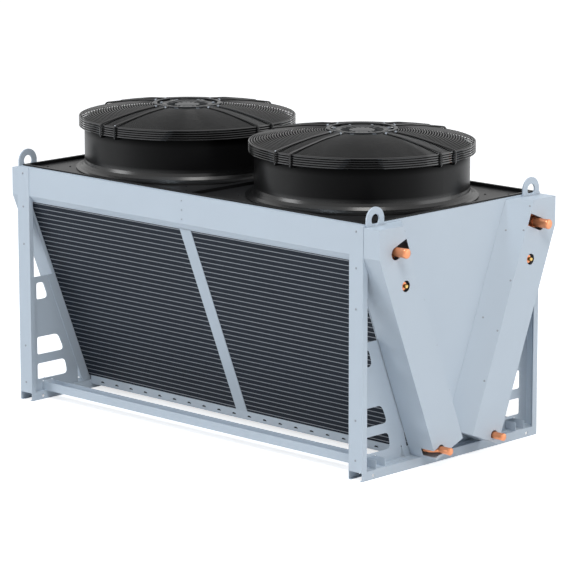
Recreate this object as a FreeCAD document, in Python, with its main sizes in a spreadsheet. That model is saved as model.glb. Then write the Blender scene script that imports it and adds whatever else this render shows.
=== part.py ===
import FreeCAD, Part
import math
import os
import Sketcher

os.makedirs("parts", exist_ok=True)

# V-type condenser. Origin at the middle of the footprint, on the floor.
# X runs along the unit toward the connection end, Y across it toward the back, Z up.

doc = FreeCAD.newDocument("v_type_condenser")
sheet = doc.addObject("Spreadsheet::Sheet", "sizes")
sheet.Label = "Driving sizes in millimetres"

VALUES = [
    ("nozzle_radius", 481.0),
    ("nozzle_wall", 2.5),
    ("nozzle_flare", 40.0),
    ("nozzle_edge", 6.0),
    ("nozzle_height", 228.0),
    ("nozzle_bead", 3.0),
    ("nozzle_bead_height", 8.0),
    ("fan_middle_room", 34.0),
    ("fan_end_room", 16.0),
    ("fan_side_room", 31.0),
    ("deck_end_gap", 8.0),
    ("beam_flange_width", 30.5),
    ("frame_top", 1118.0),
    ("sheet_wall", 2.5),
    ("plate_wall", 3.0),
    ("fit_gap", 0.5),
    ("end_rail_width", 80.0),
    ("end_rail_height", 40.0),
    ("end_rail_lip", 14.0),
    ("floor_hole_diameter", 14.0),
    ("floor_hole_inset", 70.5),
    ("floor_hole_height", 17.0),
    ("base_rail_inset", 87.5),
    ("base_rail_width", 60.0),
    ("base_rail_height", 40.0),
    ("post_face", 80.0),
    ("post_lip", 30.0),
    ("gusset_inset", 57.0),
    ("gusset_top", 590.0),
    ("gusset_lip_wall", 5.0),
    ("gusset_lip_width", 32.0),
    ("gusset_foot_width", 30.0),
    ("gusset_notch_room", 3.0),
    ("gusset_coil_gap", 18.0),
    ("gusset_toe_step", 5.5),
    ("gusset_toe_top", 177.0),
    ("window_inset", 55.5),
    ("window_outer_round", 9.0),
    ("window_inner_round", 24.0),
    ("low_window_bottom", 95.0),
    ("low_window_top", 170.0),
    ("low_window_foot_gap", 122.0),
    ("low_window_head_gap", 107.0),
    ("middle_window_bottom", 214.0),
    ("middle_window_top", 298.0),
    ("middle_window_foot_gap", 95.0),
    ("middle_window_head_gap", 100.0),
    ("high_window_bottom", 480.0),
    ("high_window_top", 560.0),
    ("high_window_foot_gap", 88.0),
    ("high_window_head_gap", 78.0),
    ("coil_foot_y", 205.1),
    ("coil_foot_z", 67.8),
    ("coil_head_inset", 24.65),
    ("coil_head_drop", 163.0),
    ("coil_bottom", 64.0),
    ("coil_depth", 118.4),
    ("coil_end_inset", 63.0),
    ("coil_rib_pitch", 25.4),
    ("coil_rib_width", 4.0),
    ("coil_rib_height", 2.0),
    ("tube_sheet_depth", 186.0),
    ("tube_sheet_band", 48.0),
    ("tube_sheet_foot", 25.0),
    ("tube_sheet_notch", 20.0),
    ("tube_sheet_notch_low", 85.0),
    ("tube_sheet_notch_high", 150.0),
    ("divider_width", 70.0),
    ("top_rail_lip", 30.0),
    ("tray_bottom", 24.0),
    ("tray_flange", 15.0),
    ("tray_clearance", 1.0),
    ("floor_rise", 6.0),
    ("beam_height", 132.0),
    ("beam_hem_inset", 22.5),
    ("beam_hem_drop", 156.0),
    ("beam_end_gap", 2.0),
    ("panel_head_height", 68.0),
    ("end_beam_room", 8.0),
    ("end_beam_depth", 45.0),
    ("end_beam_side_gap", 24.0),
    ("centre_beam_half_width", 30.0),
    ("centre_beam_height", 50.0),
    ("deck_drop", 8.0),
    ("deck_height", 15.0),
    ("deck_lip", 14.0),
    ("deck_rim_clearance", 1.0),
    ("deck_middle_gap", 1.5),
    ("deck_hole_room", 10.0),
    ("impeller_tip_gap", 10.5),
    ("impeller_hub_radius", 128.0),
    ("impeller_rise", 105.0),
    ("impeller_hub_height", 92.0),
    ("impeller_hub_round", 14.0),
    ("impeller_hub_wall", 5.0),
    ("impeller_boss_wall", 12.0),
    ("impeller_boss_drop", 20.0),
    ("blade_wall", 7.0),
    ("blade_count", 7.0),
    ("blade_root_chord", 150.0),
    ("blade_root_pitch", 38.0),
    ("blade_middle_chord", 165.0),
    ("blade_middle_pitch", 27.0),
    ("blade_middle_sweep", 22.0),
    ("blade_tip_chord", 190.0),
    ("blade_tip_pitch", 20.0),
    ("blade_tip_sweep", 70.0),
    ("motor_radius", 92.0),
    ("motor_shaft_radius", 15.0),
    ("motor_hub_gap", 6.0),
    ("motor_shaft_reach", 14.0),
    ("motor_flange_wall", 8.0),
    ("motor_flange_radius", 154.0),
    ("motor_cap_recess", 14.0),
    ("shaft_clearance", 0.05),
    ("guard_reach", 26.0),
    ("guard_wire", 6.0),
    ("guard_rim_drop", 22.0),
    ("guard_rim_height", 42.0),
    ("guard_rise", 56.0),
    ("guard_hub_radius", 150.0),
    ("guard_spoke_offset", 42.0),
    ("guard_foot_drop", 52.0),
    ("guard_clip_height", 10.0),
    ("cover_reach_right", 93.0),
    ("cover_reach_left", 37.0),
    ("cover_top_drop", 8.0),
    ("cover_bottom", 42.0),
    ("cover_side", 12.0),
    ("cover_width", 201.0),
    ("cover_incline", 0.93),
    ("cover_middle_gap", 2.0),
    ("cover_skirt_top", 900.0),
    ("cover_lug_room", 2.0),
    ("valve_hole_radius", 25.0),
    ("valve_side", 5.5),
    ("valve_drop", 157.0),
    ("gas_hole_radius", 28.0),
    ("gas_hole_side", 10.0),
    ("gas_hole_drop", 3.5),
    ("liquid_hole_radius", 22.0),
    ("liquid_slot_half", 18.0),
    ("liquid_slot_depth", 76.0),
    ("lug_wall", 7.0),
    ("lug_inset", 69.5),
    ("lug_radius", 55.0),
    ("lug_hole_radius", 25.0),
    ("lug_hole_rise", 19.0),
    ("lug_foot_drop", 56.0),
    ("gas_header_radius", 25.0),
    ("gas_header_reach", 28.0),
    ("gas_header_bottom", 190.0),
    ("gas_header_overrun", 36.0),
    ("gas_pipe_radius", 21.0),
    ("gas_stub_side", 81.0),
    ("gas_stub_drop", 115.0),
    ("gas_feed_radius", 6.0),
    ("gas_feed_low", 250.0),
    ("liquid_pipe_radius", 16.0),
    ("liquid_header_reach", 12.0),
    ("liquid_header_length", 620.0),
    ("liquid_stub_side", 46.3),
    ("liquid_stub_rise", 46.0),
    ("liquid_feed_radius", 5.0),
    ("liquid_feed_low", 146.0),
    ("feed_pitch", 125.0),
    ("socket_wall", 2.5),
    ("socket_reach", 40.0),
    ("stub_reach", 57.0),
]


class Size:
    """A number together with the sheet formula that gives it."""

    def __init__(self, number, formula):
        self.number = float(number)
        self.formula = formula

    def join(self, other, sign, number):
        return Size(number, "(" + self.formula + " " + sign + " " + as_size(other).formula + ")")

    def __add__(self, other):
        return self.join(other, "+", self.number + as_size(other).number)

    def __sub__(self, other):
        return self.join(other, "-", self.number - as_size(other).number)

    def __mul__(self, other):
        return self.join(other, "*", self.number * as_size(other).number)

    def __truediv__(self, other):
        return self.join(other, "/", self.number / as_size(other).number)

    def __neg__(self):
        return Size(-self.number, "(0 - " + self.formula + ")")


def root(value):
    """The square root of a size, with its sheet formula."""
    return Size(math.sqrt(value.number), "sqrt(" + value.formula + ")")


def as_size(value):
    if isinstance(value, Size):
        return value
    if value < 0:
        return Size(value, "(0 - " + repr(-float(value)) + ")")
    return Size(value, repr(float(value)))


size = {}
for row, (alias, number) in enumerate(VALUES, start=1):
    sheet.set("A" + str(row), alias)
    sheet.set("B" + str(row), str(number))
    sheet.setAlias("B" + str(row), alias)
    size[alias] = Size(number, "sizes." + alias)
doc.recompute()

wall = size["sheet_wall"]
plate = size["plate_wall"]
gap = size["fit_gap"]
frame_top = size["frame_top"]

# the fans set the plan: each foot ring stands clear of the middle, the ends and the sides
foot_r = size["nozzle_radius"] + size["nozzle_flare"]
fan_x = foot_r + size["fan_middle_room"]
deck_out = fan_x + foot_r + size["fan_end_room"]
deck_y = foot_r + size["fan_side_room"]
end_x = deck_out + size["deck_end_gap"]
side_y = deck_y + size["beam_flange_width"]

# heights below the top of the frame
deck_floor = frame_top - size["deck_drop"]
deck_top = deck_floor + size["deck_height"]
beam_low = frame_top - size["beam_height"]
hem_y = side_y - size["beam_hem_inset"]
hem_z = frame_top - size["beam_hem_drop"]
panel_head = frame_top - size["panel_head_height"]
coil_low = size["coil_bottom"]
coil_high = frame_top - size["coil_head_drop"]
coil_x = end_x - size["coil_end_inset"]

# slope of the coils: sideways run for each millimetre of height, and the length that goes with it
run = (side_y - size["coil_head_inset"] - size["coil_foot_y"]) / (coil_high - size["coil_foot_z"])
lean = root(run * run + 1)

nodes = []
cuts = []


def bind(thing, path, value):
    thing.setExpression(path, as_size(value).formula)


def new_body(name, label):
    body = doc.addObject("PartDesign::Body", name)
    body.Label = label
    nodes.append(body)
    return body


def base_plane(body, role):
    return [item for item in body.Origin.OriginFeatures if item.Role == role][0]


def add_sketch(body, name, plane, offset, wires, circles=()):
    sketch = body.newObject("Sketcher::SketchObject", name)
    sketch.AttachmentSupport = (base_plane(body, plane + "_Plane"), [""])
    sketch.MapMode = "FlatFace"
    offset = as_size(offset)
    sketch.AttachmentOffset = FreeCAD.Placement(FreeCAD.Vector(0, 0, offset.number), FreeCAD.Rotation())
    sketch.setExpression("AttachmentOffset.Base.z", offset.formula)
    for wire in wires:
        points = [(as_size(u), as_size(v)) for u, v in wire]
        first = sketch.GeometryCount
        count = len(points)
        lines = []
        for index in range(count):
            here = points[index]
            there = points[(index + 1) % count]
            start = FreeCAD.Vector(here[0].number, here[1].number, 0)
            end = FreeCAD.Vector(there[0].number, there[1].number, 0)
            lines.append(Part.LineSegment(start, end))
        sketch.addGeometry(lines, False)
        joins = []
        for index in range(count):
            joins.append(Sketcher.Constraint("Coincident", first + index, 2, first + (index + 1) % count, 1))
        sketch.addConstraint(joins)
        for index in range(count):
            for direction, value in (("DistanceX", points[index][0]), ("DistanceY", points[index][1])):
                number = sketch.addConstraint(
                    Sketcher.Constraint(direction, -1, 1, first + index, 1, value.number))
                sketch.setExpression("Constraints[" + str(number) + "]", value.formula)
    for u, v, radius in circles:
        u = as_size(u)
        v = as_size(v)
        radius = as_size(radius)
        centre = FreeCAD.Vector(u.number, v.number, 0)
        item = sketch.addGeometry(Part.Circle(centre, FreeCAD.Vector(0, 0, 1), radius.number), False)
        for rule in (("DistanceX", u), ("DistanceY", v)):
            number = sketch.addConstraint(Sketcher.Constraint(rule[0], -1, 1, item, 3, rule[1].number))
            sketch.setExpression("Constraints[" + str(number) + "]", rule[1].formula)
        number = sketch.addConstraint(Sketcher.Constraint("Radius", item, radius.number))
        sketch.setExpression("Constraints[" + str(number) + "]", radius.formula)
    return sketch


def add_pad(body, name, plane, start, depth, wires, circles=()):
    start = as_size(start)
    depth = as_size(depth)
    offset = start
    if plane == "XZ":
        offset = -(start + depth)
    sketch = add_sketch(body, name + "_sketch", plane, offset, wires, circles)
    pad = body.newObject("PartDesign::Pad", name)
    pad.Profile = sketch
    pad.Length = depth.number
    pad.setExpression("Length", depth.formula)
    body.Tip = pad
    return pad


def add_pocket(body, name, plane, start, depth, wires, circles=()):
    start = as_size(start)
    depth = as_size(depth)
    offset = start + depth
    if plane == "XZ":
        offset = -start
    before = body.Tip
    sketch = add_sketch(body, name + "_sketch", plane, offset, wires, circles)
    pocket = body.newObject("PartDesign::Pocket", name)
    pocket.Profile = sketch
    pocket.Length = depth.number
    pocket.setExpression("Length", depth.formula)
    body.Tip = pocket
    cuts.append((before, pocket))
    return pocket


def span(sign, near, far):
    near = as_size(near)
    far = as_size(far)
    if sign > 0:
        return near, far - near
    return -far, far - near


def box_wire(u_low, v_low, u_high, v_high):
    return [(u_low, v_low), (u_high, v_low), (u_high, v_high), (u_low, v_high)]


def mirror_u(sign, wire):
    return [(as_size(u) * sign, v) for u, v in wire]


ENDS = (("left", -1), ("right", 1))
SIDES = (("front", -1), ("rear", 1))


def coil_line(z):
    return size["coil_foot_y"] + (as_size(z) - size["coil_foot_z"]) * run


def moved(y, z, out, up):
    """A point moved outward across the slope of the coil, and up along it."""
    out = as_size(out)
    up = as_size(up)
    return (as_size(y) + (out + up * run) / lean, as_size(z) + (up - out * run) / lean)


def corner_round(corner, before, after, steps):
    """Points of a round corner that starts at before and ends at after."""
    points = []
    for step in range(steps + 1):
        late = step / steps
        early = 1 - late
        points.append(tuple(
            before[axis] * early ** 2 + corner[axis] * (2 * early * late) + after[axis] * late ** 2
            for axis in (0, 1)))
    return points


# end rails: inverted channels under both ends, open at their ends
rail_top = size["end_rail_height"]
rail_inner = end_x - size["end_rail_width"]
for end, sx in ENDS:
    body = new_body("end_rail_" + end, "End rail, " + end)
    profile = [
        (end_x, 0), (end_x, rail_top), (rail_inner, rail_top), (rail_inner, 0),
        (rail_inner + size["end_rail_lip"], 0), (rail_inner + size["end_rail_lip"], wall),
        (rail_inner + wall, wall), (rail_inner + wall, rail_top - wall),
        (end_x - wall, rail_top - wall), (end_x - wall, wall),
        (end_x - size["end_rail_lip"], wall), (end_x - size["end_rail_lip"], 0),
    ]
    add_pad(body, "rail_" + end, "XZ", -side_y, side_y * 2, [mirror_u(sx, profile)])
    start, depth = span(sx, rail_inner - 1, end_x + 1)
    holes = []
    for sy in (-1, 1):
        holes.append(((side_y - size["floor_hole_inset"]) * sy, size["floor_hole_height"],
                      size["floor_hole_diameter"] / 2))
    add_pocket(body, "rail_holes_" + end, "YZ", start, depth, [], holes)

# base rails: channels open upward, the full length, lying on the end rails
base_low = rail_top
base_high = rail_top + size["base_rail_height"]
base_outer = side_y - size["base_rail_inset"]
base_inner = base_outer - size["base_rail_width"]
for side, sy in SIDES:
    body = new_body("base_rail_" + side, "Base rail, " + side)
    profile = [
        (base_outer, base_low), (base_outer, base_high), (base_outer - wall, base_high),
        (base_outer - wall, base_low + wall), (base_inner + wall, base_low + wall),
        (base_inner + wall, base_high), (base_inner, base_high), (base_inner, base_low),
    ]
    add_pad(body, "base_" + side, "YZ", -end_x, end_x * 2, [mirror_u(sy, profile)])

# corner posts, gussets and lifting lugs
post_inner = end_x - size["post_face"]
post_y = side_y - wall
gusset_out = end_x - size["gusset_inset"]
gusset_in = gusset_out - plate
gusset_y = post_y - size["gusset_lip_wall"]
lug_y = side_y - size["lug_inset"]
lug_z = frame_top + size["lug_hole_rise"]
lug_low = frame_top - size["lug_foot_drop"]


def gusset_window(name):
    """Outline of one window: straight outer side, inner side along the coil, round corners."""
    outer = side_y - size["window_inset"]
    low = size[name + "_window_bottom"]
    high = size[name + "_window_top"]
    foot = coil_line(low) + size[name + "_window_foot_gap"]
    head = coil_line(high) + size[name + "_window_head_gap"]
    small = size["window_outer_round"]
    large = size["window_inner_round"]
    lean_in = (head - foot) * (large / (high - low))
    outline = corner_round((outer, low), (outer - small, low), (outer, low + small), 2)
    outline += corner_round((outer, high), (outer, high - small), (outer - small, high), 2)
    outline += corner_round((head, high), (head + large, high), (head - lean_in, high - large), 3)
    outline += corner_round((foot, low), (foot + lean_in, low + large), (foot + large, low), 3)
    return outline


for end, sx in ENDS:
    for side, sy in SIDES:
        corner = side + "_" + end
        body = new_body("post_" + corner, "Corner post, " + side + " " + end)
        angle = [
            (post_inner, side_y), (end_x, side_y), (end_x, side_y - size["post_lip"]),
            (end_x - wall, side_y - size["post_lip"]), (end_x - wall, post_y), (post_inner, post_y),
        ]
        angle = [(x * sx, y * sy) for x, y in angle]
        add_pad(body, "post_angle_" + corner, "XY", rail_top, frame_top - rail_top, [angle])
        flange_y = coil_line(coil_high) + gap
        flange = [
            (flange_y, rail_top), (post_y, rail_top), (post_y, beam_low - gap), (hem_y, hem_z - gap),
            (flange_y, hem_z - gap),
        ]
        start, depth = span(sx, post_inner, post_inner + wall)
        add_pad(body, "post_flange_" + corner, "YZ", start, depth, [mirror_u(sy, flange)])

        body = new_body("gusset_" + corner, "Gusset plate, " + side + " " + end)
        top = size["gusset_top"]
        toe_z = size["gusset_toe_top"]
        toe_y = coil_line(toe_z) + size["gusset_coil_gap"] + size["gusset_toe_step"]
        outline = [
            (gusset_y, rail_top), (gusset_y, top), (coil_line(top) + size["gusset_coil_gap"], top),
            (toe_y, toe_z), (toe_y, rail_top),
        ]
        start, depth = span(sx, gusset_in, gusset_out)
        add_pad(body, "gusset_plate_" + corner, "YZ", start, depth, [mirror_u(sy, outline)])
        start, depth = span(sx, gusset_in, gusset_out + size["gusset_lip_width"])
        lip = box_wire(gusset_y, rail_top, post_y, top)
        add_pad(body, "gusset_lip_" + corner, "YZ", start, depth, [mirror_u(sy, lip)])
        foot = box_wire(toe_y, rail_top, gusset_y, rail_top + plate)
        start, depth = span(sx, gusset_out, gusset_out + size["gusset_foot_width"])
        add_pad(body, "gusset_foot_" + corner, "YZ", start, depth, [mirror_u(sy, foot)])
        room = size["gusset_notch_room"]
        notch = box_wire(base_inner - room, rail_top - 1, base_outer + room, base_high + room)
        start, depth = span(sx, gusset_in - 1, gusset_out + size["gusset_lip_width"] + 1)
        add_pocket(body, "gusset_notch_" + corner, "YZ", start, depth, [mirror_u(sy, notch)])
        start, depth = span(sx, gusset_in - 1, gusset_out + 1)
        add_pocket(body, "gusset_windows_" + corner, "YZ", start, depth,
                   [mirror_u(sy, gusset_window(name)) for name in ("low", "middle", "high")])

        body = new_body("lifting_lug_" + corner, "Lifting lug, " + side + " " + end)
        start, depth = span(sx, end_x, end_x + size["lug_wall"])
        blade = box_wire(lug_y - size["lug_radius"], lug_low, lug_y + size["lug_radius"], lug_z)
        add_pad(body, "lug_plate_" + corner, "YZ", start, depth, [mirror_u(sy, blade)])
        add_pad(body, "lug_crown_" + corner, "YZ", start, depth, [],
                [(lug_y * sy, lug_z, size["lug_radius"])])
        start, depth = span(sx, end_x - 1, end_x + size["lug_wall"] + 1)
        add_pocket(body, "lug_eye_" + corner, "YZ", start, depth, [],
                   [(lug_y * sy, lug_z, size["lug_hole_radius"])])

# long top beams with a folded-in lower edge
rim_inset = size["deck_lip"] - wall - size["deck_rim_clearance"]
beam_flange_y = deck_y - rim_inset
beam_end = end_x - wall - size["beam_end_gap"]
hem_slope = (post_y - hem_y) / (beam_low - hem_z)
hem_lean = root(hem_slope * hem_slope + 1)
for side, sy in SIDES:
    body = new_body("top_beam_" + side, "Top beam, " + side)
    profile = [
        (post_y, frame_top), (beam_flange_y, frame_top), (beam_flange_y, frame_top - wall),
        (post_y - wall, frame_top - wall), (post_y - wall, beam_low + wall * (hem_lean - 1) / hem_slope),
        (hem_y - wall / hem_lean, hem_z + wall * hem_slope / hem_lean), (hem_y, hem_z), (post_y, beam_low),
    ]
    add_pad(body, "beam_" + side, "YZ", -beam_end, beam_end * 2, [mirror_u(sy, profile)])

# end beams and the V-shaped panels below them
panel_in = end_x - wall
beam_lip_y = side_y - size["post_lip"] - gap
cover_low = size["cover_bottom"]
cover_top = frame_top - size["cover_top_drop"]
cover_width = size["cover_width"]
incline = size["cover_incline"]


def cover_outer(z):
    return coil_line(z) + size["cover_side"]


def cover_inner(z):
    return cover_outer(z) - cover_width


cover_heel = cover_low + cover_width * run / (lean * lean)
for end, sx in ENDS:
    body = new_body("end_beam_" + end, "End beam behind the panel head, " + end)
    web_low = panel_head + size["end_beam_room"]
    web_high = frame_top - wall - size["end_beam_room"]
    depth_in = panel_in - size["end_beam_depth"]
    web = [
        (panel_in, web_low), (panel_in, web_high), (depth_in, web_high), (depth_in, web_high - wall),
        (panel_in - wall, web_high - wall), (panel_in - wall, web_low + wall),
        (depth_in, web_low + wall), (depth_in, web_low),
    ]
    web_reach = hem_y - size["end_beam_side_gap"]
    add_pad(body, "end_beam_channel_" + end, "XZ", -web_reach, web_reach * 2, [mirror_u(sx, web)])

    body = new_body("end_panel_" + end, "V-shaped end panel, " + end)
    start, depth = span(sx, panel_in, end_x)
    panel_low = cover_heel + wall * 2
    panel_high = panel_head - gap
    slip = wall + 1
    shape = [
        (cover_inner(panel_low) - slip, panel_low), (cover_inner(panel_high) - slip, panel_high),
        (beam_lip_y, panel_high), (beam_lip_y, frame_top),
    ]
    shape += [(-y, z) for y, z in reversed(shape)]
    add_pad(body, "end_panel_face_" + end, "YZ", start, depth, [shape])
    start, depth = span(sx, deck_out - rim_inset, panel_in)
    reach = beam_flange_y - 2
    add_pad(body, "end_panel_top_" + end, "YZ", start, depth,
            [box_wire(-reach, frame_top - wall, reach, frame_top)])
    start, depth = span(sx, coil_x + plate, panel_in)
    wires = []
    for sy in (-1, 1):
        wires.append(mirror_u(sy, [
            (cover_inner(panel_low) - slip, panel_low), (cover_inner(panel_high) - slip, panel_high),
            (cover_inner(panel_high) - slip - wall, panel_high),
            (cover_inner(panel_low) - slip - wall, panel_low),
        ]))
    add_pad(body, "end_panel_returns_" + end, "YZ", start, depth, wires)

# coils: drain tray, ribbed fin packs, tube sheets, centre support and front divider strip
tray_z = size["tray_bottom"]
tray_x = rail_inner - gap
tray_in = coil_line(coil_low) - size["coil_depth"] - size["tray_clearance"]
for side, sy in SIDES:
    body = new_body("drain_tray_" + side, "Drain tray, " + side)
    tray_out = size["coil_foot_y"]
    lip = size["tray_flange"]
    profile = [
        (tray_out, tray_z), (tray_out, coil_low), (tray_out - lip, coil_low),
        (tray_out - lip, coil_low - wall), (tray_out - wall, coil_low - wall),
        (tray_out - wall, tray_z + wall), (tray_in + wall, tray_z + wall),
        (tray_in + wall, coil_low - wall), (tray_in + lip, coil_low - wall), (tray_in + lip, coil_low),
        (tray_in, coil_low), (tray_in, tray_z),
    ]
    add_pad(body, "tray_" + side, "YZ", -tray_x, tray_x * 2, [mirror_u(sy, profile)])

    for end, sx in ENDS:
        corner = side + "_" + end
        body = new_body("tube_sheet_" + corner, "Coil tube sheet, " + side + " " + end)
        start, depth = span(sx, coil_x, coil_x + plate)
        band = size["tube_sheet_band"]
        step = size["gusset_top"]
        inner_foot = coil_line(rail_top) - size["tube_sheet_depth"]
        outline = [
            (coil_line(rail_top) + band, rail_top), (coil_line(step) + band, step), (cover_outer(step), step),
            (cover_outer(coil_high), coil_high), (coil_line(coil_high) - size["tube_sheet_depth"], coil_high),
            (inner_foot, rail_top),
        ]
        add_pad(body, "tube_sheet_plate_" + corner, "YZ", start, depth, [mirror_u(sy, outline)])
        if sx > 0:
            low = size["tube_sheet_notch_low"]
            high = size["tube_sheet_notch_high"]
            notch = [
                (coil_line(low), low), (coil_line(low) + size["tube_sheet_notch"], low),
                (coil_line(high) + size["tube_sheet_notch"] / 2, high), (coil_line(high), high),
            ]
            start, depth = span(sx, coil_x - 1, coil_x + plate + 1)
            add_pocket(body, "tube_sheet_notch_" + corner, "YZ", start, depth, [mirror_u(sy, notch)])
        start, depth = span(sx, coil_x + plate, coil_x + plate + size["tube_sheet_foot"])
        add_pad(body, "tube_sheet_foot_" + corner, "YZ", start, depth,
                [mirror_u(sy, box_wire(inner_foot, rail_top, coil_line(rail_top), rail_top + plate))])

        # fin pack with the raised edges of its tube rows
        pitch = size["coil_rib_pitch"] / lean
        rib = size["coil_rib_width"]
        high = size["coil_rib_height"]
        profile = [
            (coil_line(coil_low) - size["coil_depth"], coil_low), (coil_line(coil_low) - high, coil_low),
        ]
        count = int((coil_high.number - coil_low.number) / pitch.number)
        for index in range(count):
            z_low = coil_low + pitch * (index + 0.5) - rib / 2
            z_high = z_low + rib
            profile.append((coil_line(z_low) - high, z_low))
            profile.append((coil_line(z_low), z_low))
            profile.append((coil_line(z_high), z_high))
            profile.append((coil_line(z_high) - high, z_high))
        profile.append((coil_line(coil_high) - high, coil_high))
        profile.append((coil_line(coil_high) - size["coil_depth"], coil_high))
        start, depth = span(sx, plate / 2, coil_x)
        points = [FreeCAD.Vector(start.number, sy * y.number, z.number) for y, z in profile]
        face = Part.Face(Part.makePolygon(points + points[:1]))
        fins = doc.addObject("Part::Feature", "fin_pack_" + corner)
        fins.Label = "Fin pack, " + side + " " + end
        fins.Shape = face.extrude(FreeCAD.Vector(depth.number, 0, 0))
        nodes.append(fins)

    body = new_body("coil_divider_" + side, "Coil centre support and divider strip, " + side)
    centre = [
        (coil_line(coil_low), coil_low), (coil_line(coil_high), coil_high),
        (coil_line(coil_high) - size["coil_depth"], coil_high),
        (coil_line(coil_low) - size["coil_depth"], coil_low),
    ]
    add_pad(body, "divider_web_" + side, "YZ", -(plate / 2), plate, [mirror_u(sy, centre)])
    strip = [
        (coil_line(coil_low), coil_low), (coil_line(coil_high), coil_high),
        (coil_line(coil_high) + wall, coil_high), (coil_line(coil_low) + wall, coil_low),
    ]
    add_pad(body, "divider_strip_" + side, "YZ", -(size["divider_width"] / 2), size["divider_width"],
            [mirror_u(sy, strip)])

    body = new_body("coil_top_rail_" + side, "Coil top closing rail, " + side)
    top_out = coil_line(coil_high) - 1
    rail_head = coil_high + size["top_rail_lip"]
    top_in = coil_line(coil_high) - size["tube_sheet_depth"]
    profile = [
        (top_in, coil_high), (top_out, coil_high), (top_out, rail_head), (top_out - wall, rail_head),
        (top_out - wall, coil_high + wall), (top_in + wall, coil_high + wall),
        (top_in + wall, deck_floor - wall - 2), (top_in, deck_floor - wall - 2),
    ]
    rail_x = coil_x + plate
    add_pad(body, "top_rail_" + side, "YZ", -rail_x, rail_x * 2, [mirror_u(sy, profile)])

# folded floor that closes the plenum between the two drain trays
body = new_body("plenum_floor", "Plenum floor between the drain trays")
floor_z = tray_z + size["floor_rise"]
profile = [
    (tray_in, floor_z), (tray_in, coil_low + wall), (-tray_in, coil_low + wall), (-tray_in, floor_z),
    (wall - tray_in, floor_z), (wall - tray_in, coil_low), (tray_in - wall, coil_low),
    (tray_in - wall, floor_z),
]
add_pad(body, "plenum_floor_channel", "YZ", -tray_x, tray_x * 2, [profile])

# cross member under the joint of the two decks
body = new_body("centre_beam", "Centre cross beam")
centre_top = deck_floor - wall
centre_low = centre_top - size["centre_beam_height"]
half = size["centre_beam_half_width"]
profile = [
    (-half, centre_top), (half, centre_top), (half, centre_low), (half - wall, centre_low),
    (half - wall, centre_top - wall), (wall - half, centre_top - wall), (wall - half, centre_low),
    (-half, centre_low),
]
centre_reach = coil_line(coil_high) - size["tube_sheet_depth"]
add_pad(body, "centre_beam_channel", "XZ", -centre_reach, centre_reach * 2, [profile])

# fan decks: shallow black trays with a raised hollow rim
lip = size["deck_lip"]
middle = size["deck_middle_gap"]
for end, sx in ENDS:
    body = new_body("fan_deck_" + end, "Fan deck, " + end)

    def ring(inset_out, inset_in):
        wires = []
        for inset in (inset_out, inset_in):
            inset = as_size(inset)
            wires.append([((x * sx), y) for x, y in box_wire(
                middle + inset, -(deck_y - inset), deck_out - inset, deck_y - inset)])
        return wires

    floor = ring(lip - wall, 0)[0]
    hole = [(fan_x * sx, 0, size["nozzle_radius"] - size["nozzle_wall"] + size["deck_hole_room"])]
    add_pad(body, "deck_floor_" + end, "XY", deck_floor - wall, wall, [floor], hole)
    add_pad(body, "deck_riser_" + end, "XY", deck_floor, deck_top - wall - deck_floor, ring(lip - wall, lip))
    add_pad(body, "deck_rim_" + end, "XY", deck_top - wall, wall, ring(0, lip))
    add_pad(body, "deck_skirt_" + end, "XY", frame_top, deck_top - wall - frame_top, ring(0, wall))

# nozzles, guards, motors and impellers, drawn at the origin and placed at each fan


def add_revolve(body, name, wires):
    sketch = add_sketch(body, name + "_sketch", "XZ", 0, wires)
    turn = body.newObject("PartDesign::Revolution", name)
    turn.Profile = sketch
    turn.ReferenceAxis = (sketch, ["V_Axis"])
    turn.Angle = 360.0
    body.Tip = turn
    return turn


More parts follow.
